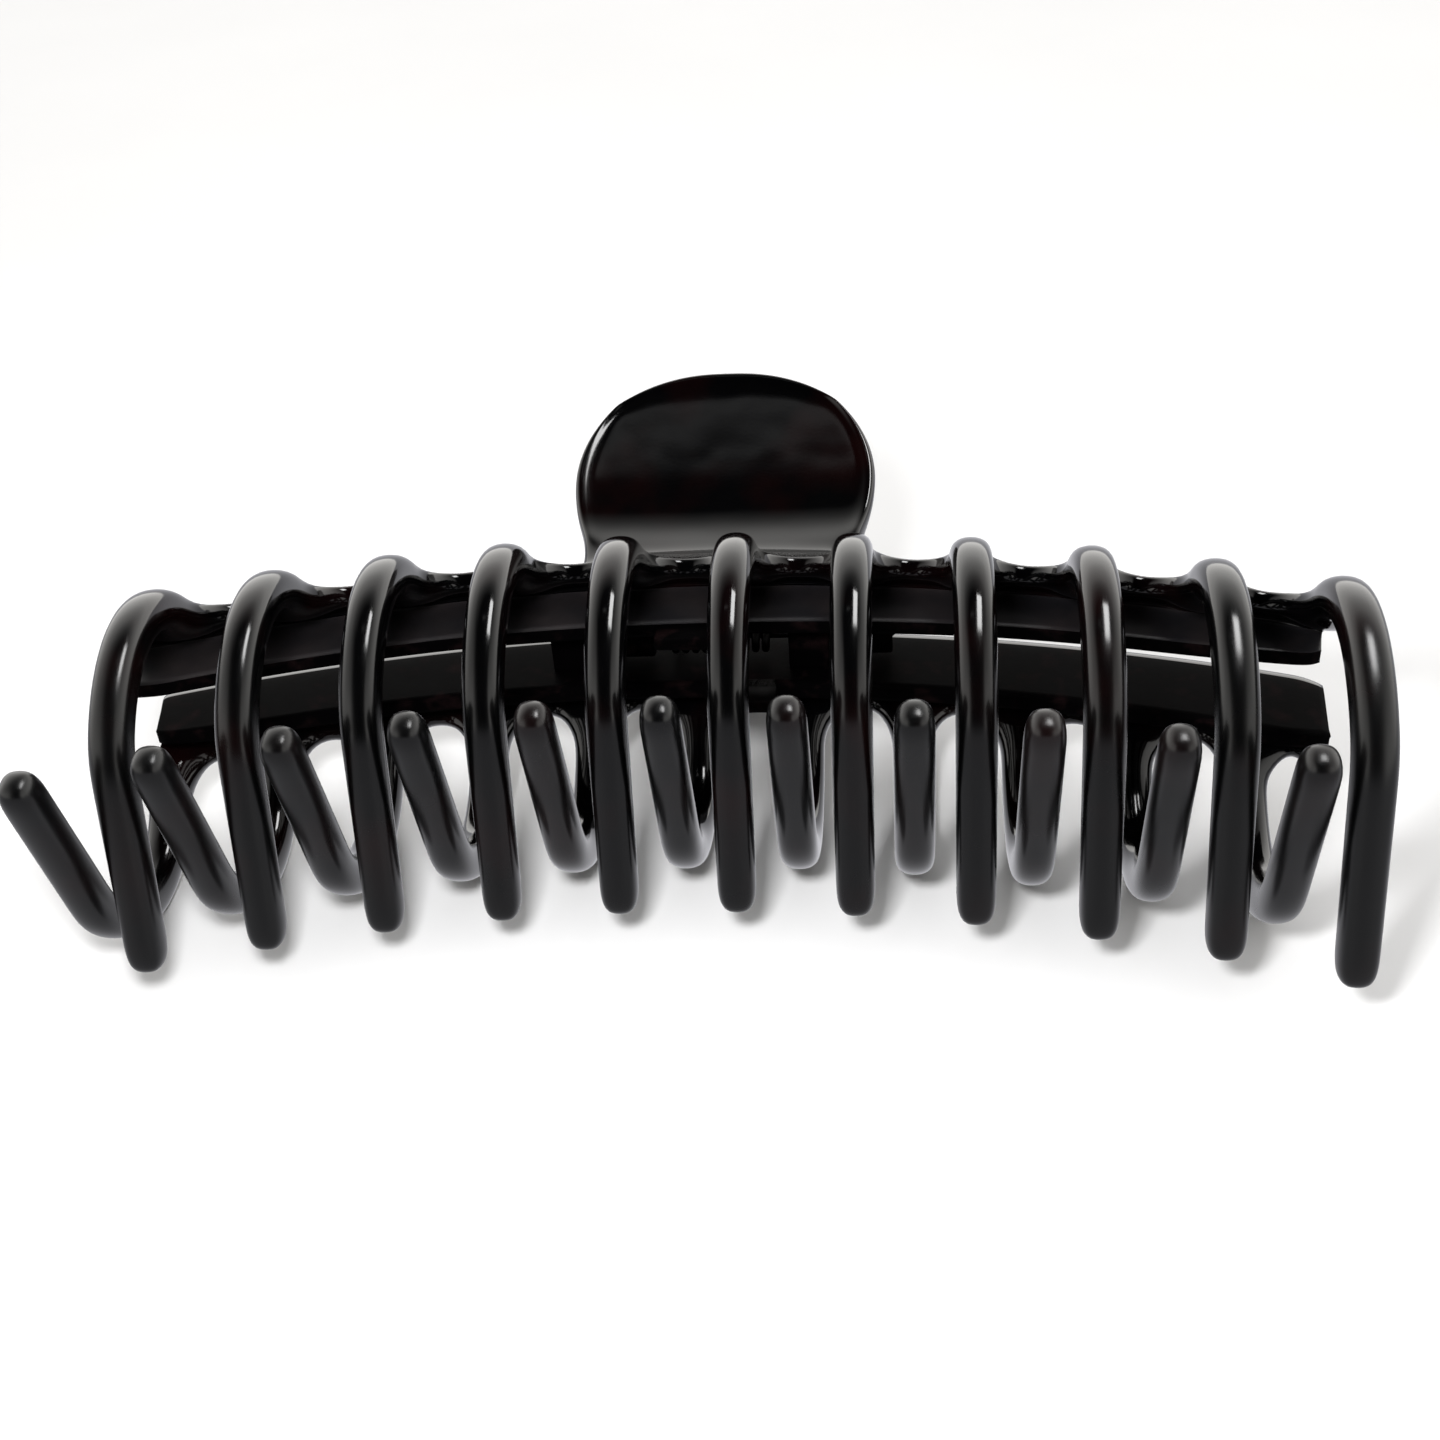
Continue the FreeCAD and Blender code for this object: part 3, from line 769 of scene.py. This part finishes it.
def add_noise(nodes, links, scale, detail):
    """Noise over the object's own coordinates, in features per metre."""
    place = nodes.new("ShaderNodeTexCoord")
    noise = nodes.new("ShaderNodeTexNoise")
    noise.inputs["Scale"].default_value = scale
    noise.inputs["Detail"].default_value = detail
    links.new(place.outputs["Object"], noise.inputs["Vector"])
    return noise.outputs["Fac"]


def add_ramp(nodes, links, source, low, high, colours):
    """A blend from one colour to another as the source goes from low to high."""
    ramp = nodes.new("ShaderNodeValToRGB")
    for element, position, colour in zip(ramp.color_ramp.elements, (low, high), colours):
        element.position = position
        element.color = (*colour, 1)
    links.new(source, ramp.inputs["Fac"])
    return ramp.outputs["Color"]


def add_bump(nodes, links, height, strength, distance, normal=None):
    bump = nodes.new("ShaderNodeBump")
    bump.inputs["Strength"].default_value = strength
    bump.inputs["Distance"].default_value = distance
    links.new(height, bump.inputs["Height"])
    if normal:
        links.new(normal, bump.inputs["Normal"])
    return bump.outputs["Normal"]


def add_math(nodes, links, operation, *sources):
    """A maths node between sockets."""
    node = nodes.new("ShaderNodeMath")
    node.operation = operation
    for socket, source in zip(node.inputs, sources):
        links.new(source, socket)
    return node.outputs["Value"]


def smooth_step(nodes, links, source, low, high):
    """0 below low and 1 above high, with a soft change between."""
    step = nodes.new("ShaderNodeMapRange")
    step.interpolation_type = "SMOOTHSTEP"
    step.inputs["From Min"].default_value = low
    step.inputs["From Max"].default_value = high
    links.new(source, step.inputs["Value"])
    return step.outputs["Result"]


def scaled(nodes, links, source, low, high, level_low, level_high):
    """A straight change from one level to another as the source goes from low to high."""
    change = nodes.new("ShaderNodeMapRange")
    values = (low, high, level_low, level_high)
    for name, value in zip(("From Min", "From Max", "To Min", "To Max"), values):
        change.inputs[name].default_value = value
    links.new(source, change.inputs["Value"])
    return change.outputs["Result"]


# ---------------------------------------------------------------- materials

# Towards a tooth's tip the polish is scuffed: where, as Y in the row frame, in metres.
SCUFF_START, SCUFF_END = -0.012, -0.026
SCUFF_ROUGHNESS = 0.2
STAIN_SHADE, STAIN_ROUGHNESS = 0.72, 0.14


def polished_plastic():
    """Glossy black moulded plastic: deep red-brown traces and a slow mould ripple."""
    material, nodes, links, shader = new_material("polished_plastic")
    tint = add_noise(nodes, links, scale=90.0, detail=3.0)
    colours = ((0.0004, 0.0004, 0.0005), (0.0034, 0.0007, 0.0007))
    links.new(add_ramp(nodes, links, tint, 0.48, 0.80, colours), shader.inputs["Base Color"])
    haze = add_noise(nodes, links, scale=240.0, detail=4.0)
    rough = scaled(nodes, links, haze, 0.0, 1.0, 0.07, 0.13)
    place = nodes.new("ShaderNodeTexCoord")
    axes = nodes.new("ShaderNodeSeparateXYZ")
    links.new(place.outputs["Object"], axes.inputs["Vector"])
    scuff = scaled(nodes, links, axes.outputs["Y"], SCUFF_END, SCUFF_START, SCUFF_ROUGHNESS, 0.0)
    links.new(add_math(nodes, links, "ADD", rough, scuff), shader.inputs["Roughness"])
    ripple = add_noise(nodes, links, scale=170.0, detail=1.0)
    grain = add_noise(nodes, links, scale=2600.0, detail=2.0)
    slow = add_bump(nodes, links, ripple, strength=0.12, distance=0.0004)
    fine = add_bump(nodes, links, grain, strength=0.02, distance=0.00005, normal=slow)
    links.new(fine, shader.inputs["Normal"])
    shader.inputs["Specular IOR Level"].default_value = 0.42
    return material


def grained(name, tint, stops, colours, roughness, grain, bump):
    """A material whose colour and roughness follow one noise, with a grain in its surface.

    tint and grain are (scale, detail), stops and roughness are (low, high), and bump is
    (strength, distance).
    """
    material, nodes, links, shader = new_material(name)
    shade = add_noise(nodes, links, *tint)
    links.new(add_ramp(nodes, links, shade, *stops, colours), shader.inputs["Base Color"])
    links.new(scaled(nodes, links, shade, 0.0, 1.0, *roughness), shader.inputs["Roughness"])
    surface = add_bump(nodes, links, add_noise(nodes, links, *grain), *bump)
    links.new(surface, shader.inputs["Normal"])
    return material, shader


def satin_plastic():
    """The same plastic with the duller, slightly rough finish of the web plate."""
    material, shader = grained(
        "satin_plastic", tint=(160.0, 4.0), stops=(0.40, 0.72),
        colours=((0.0055, 0.0052, 0.0060), (0.0115, 0.0095, 0.0098)),
        roughness=(0.34, 0.52), grain=(1800.0, 5.0), bump=(0.25, 0.00008))
    shader.inputs["Specular IOR Level"].default_value = 0.2
    return material


def painted_shade_plastic():
    """Painted shade for the recess between the jaws: a dull black copy of the plastic with almost
    no reflection.
    """
    material, shader = grained(
        "painted_shade_plastic", tint=(420.0, 5.0), stops=(0.52, 0.80),
        colours=((0.0006, 0.0005, 0.0006), (0.0060, 0.0030, 0.0032)),
        roughness=(0.45, 0.60), grain=(1500.0, 4.0), bump=(0.2, 0.00006))
    # Reflections are all but taken out, which paints the recess as shade.
    shader.inputs["Specular IOR Level"].default_value = 0.01
    return material


def drawn_steel(name, colour, roughness):
    """Drawn steel wire: fine scratches and slight staining."""
    stained = tuple(STAIN_SHADE * c for c in colour)
    material, shader = grained(
        name, tint=(500.0, 5.0), stops=(0.35, 0.7), colours=(stained, colour),
        roughness=(roughness, roughness + STAIN_ROUGHNESS), grain=(4200.0, 3.0),
        bump=(0.12, 0.00004))
    shader.inputs["Metallic"].default_value = 1.0
    return material


def white_table():
    """A matt white sweep with the faintest paper texture."""
    material, nodes, links, shader = new_material("white_table")
    mottle = add_noise(nodes, links, scale=12.0, detail=4.0)
    colours = ((0.62, 0.62, 0.625), (0.64, 0.64, 0.645))
    links.new(add_ramp(nodes, links, mottle, 0.3, 0.7, colours), shader.inputs["Base Color"])
    shader.inputs["Roughness"].default_value = 0.75
    shader.inputs["Specular IOR Level"].default_value = 0.2
    return material


# ---------------------------------------------------------------- stage and light

# The world by the direction looked in: X to the right, Y away from the viewer, Z up.
# Pairs of numbers are where a change starts and ends on its axis.
WALL_COLOUR = (1.0, 0.985, 0.955)
WALL_FADE = ((0.45, 0.95), (0.74, 0.55), (0.88, 0.16))  # (height, share of the wall's colour)
CEILING_HEIGHT, CEILING_LEVEL = 0.955, 0.003
SIDE_TO_BACK = (-0.4, 0.6)
SIDE_LEVEL, BACK_LEVEL = 1.6, 2.8
TABLE_COLOUR = (0.95, 0.95, 1.0)
NEAR_TO_FAR = (-0.3, 0.5)
TABLE_NEAR, TABLE_FAR = 0.55, 0.85
GAP_SIDE = (0.36, 0.52)
GAP_BACK = (-0.15, 0.10)
HORIZON = (-0.02, 0.02)


def make_floor():
    """The white surface that the clip lies on, which isn't seen in reflections."""
    bpy.ops.mesh.primitive_plane_add(size=6.0, location=(0, 0, 0))
    floor = bpy.context.object
    floor.name = "white_sweep"
    floor.data.materials.append(white_table())
    floor.visible_glossy = False


def wall_ramp(nodes, links, height):
    """Warm white walls that fade into a dark ceiling."""
    wall = nodes.new("ShaderNodeValToRGB")
    stops = wall.color_ramp.elements
    stops[0].position, stops[0].color = 0.0, (*WALL_COLOUR, 1)
    stops[1].position, stops[1].color = CEILING_HEIGHT, (*[CEILING_LEVEL] * 3, 1)
    for position, share in WALL_FADE:
        stop = stops.new(position)
        stop.color = (*[share * c for c in WALL_COLOUR], 1)
    links.new(height, wall.inputs["Fac"])
    return wall.outputs["Color"]


def make_world():
    """White walls all round, a dark ceiling, and a dark gap where the viewer stands."""
    world = bpy.data.worlds.new("studio")
    world.use_nodes = True
    nodes, links = world.node_tree.nodes, world.node_tree.links
    place = nodes.new("ShaderNodeTexCoord")
    axes = nodes.new("ShaderNodeSeparateXYZ")
    links.new(place.outputs["Generated"], axes.inputs["Vector"])
    across, away, height = (axes.outputs[name] for name in "XYZ")
    beside = smooth_step(nodes, links, add_math(nodes, links, "ABSOLUTE", across), *GAP_SIDE)
    behind = smooth_step(nodes, links, away, *GAP_BACK)
    open_wall = add_math(nodes, links, "MAXIMUM", beside, behind)
    level = scaled(nodes, links, away, *SIDE_TO_BACK, SIDE_LEVEL, BACK_LEVEL)
    walls = nodes["Background"]
    links.new(wall_ramp(nodes, links, height), walls.inputs["Color"])
    links.new(add_math(nodes, links, "MULTIPLY", open_wall, level), walls.inputs["Strength"])
    table = nodes.new("ShaderNodeBackground")
    table.inputs["Color"].default_value = (*TABLE_COLOUR, 1)
    shine = scaled(nodes, links, away, *NEAR_TO_FAR, TABLE_NEAR, TABLE_FAR)
    links.new(shine, table.inputs["Strength"])
    mix = nodes.new("ShaderNodeMixShader")
    links.new(smooth_step(nodes, links, height, *HORIZON), mix.inputs["Fac"])
    links.new(table.outputs["Background"], mix.inputs[1])
    links.new(walls.outputs["Background"], mix.inputs[2])
    links.new(mix.outputs["Shader"], nodes["World Output"].inputs["Surface"])
    bpy.context.scene.world = world


def add_area(name, place, target, size, power):
    light = bpy.data.lights.new(name, "AREA")
    light.shape = "RECTANGLE"
    light.size, light.size_y = size
    light.energy = power
    lamp = bpy.data.objects.new(name, light)
    lamp.location = place
    aim = Vector(target) - Vector(place)
    lamp.rotation_euler = aim.to_track_quat("-Z", "Y").to_euler()
    bpy.context.scene.collection.objects.link(lamp)
    return lamp


def make_lights():
    """A lamp and a glow that are only seen reflected, and a key and a fill that aren't."""
    lamp = add_area("ceiling_lamp", place=(0.17, 0.01, 0.62), target=(0.17, 0.01, 0),
                    size=(0.15, 0.27), power=2.4)
    glow = add_area("ceiling_glow", place=(-0.06, -0.015, 0.62), target=(-0.06, -0.015, 0),
                    size=(0.1, 0.02), power=0.004)
    lamp.visible_diffuse = glow.visible_diffuse = False
    key = add_area("shadow_key", place=(-0.008, -0.116, 0.1295), target=(-0.008, 0.3, 0),
                   size=(0.03, 0.03), power=0.42)
    fill = add_area("room_fill", place=(0, 0.1, 1.0), target=(0, 0.1, 0),
                    size=(1.5, 1.5), power=8.0)
    key.visible_glossy = fill.visible_glossy = False


# ---------------------------------------------------------------- camera

CAMERA_AZIMUTH = math.radians(7.02)
CAMERA_ELEVATION = math.radians(36.64)
CAMERA_ROLL = math.radians(-4.93)
CAMERA_DISTANCE = 197.6
CAMERA_LENS = 45.63
AIM = (-0.1, JAW_Y - 4.91, 11.6)


def make_camera():
    """The photo's view: round, up and rolled about the point aimed at."""
    round_sin, round_cos = math.sin(CAMERA_AZIMUTH), math.cos(CAMERA_AZIMUTH)
    flat = math.cos(CAMERA_ELEVATION)
    back = Vector((round_sin * flat, -round_cos * flat, math.sin(CAMERA_ELEVATION)))
    level = Vector((round_cos, round_sin, 0))
    upright = back.cross(level)
    right = level * math.cos(CAMERA_ROLL) + upright * math.sin(CAMERA_ROLL)
    up = back.cross(right)
    lens = bpy.data.cameras.new("camera")
    lens.lens = CAMERA_LENS
    lens.sensor_width = 36.0
    lens.clip_start = 0.005
    camera = bpy.data.objects.new("camera", lens)
    turn = Matrix((right, up, back)).transposed().to_4x4()
    place = (Vector(AIM) + back * CAMERA_DISTANCE) * MM
    camera.matrix_world = Matrix.Translation(place) @ turn
    bpy.context.scene.collection.objects.link(camera)
    bpy.context.scene.camera = camera


# ---------------------------------------------------------------- build

# Two finishes of the plastic, and its painted-shade copy for the recess.
finishes_and_shade = (polished_plastic(), satin_plastic(), painted_shade_plastic())
make_jaw("lower_jaw", True, finishes_and_shade)
make_jaw("upper_jaw", False, finishes_and_shade)
make_spring(drawn_steel("spring_steel", (0.020, 0.019, 0.018), 0.30))
make_pin(drawn_steel("pin_steel", (0.16, 0.16, 0.165), 0.24))
make_floor()
make_world()
make_lights()
make_camera()
bpy.context.scene.view_settings.view_transform = "Standard"
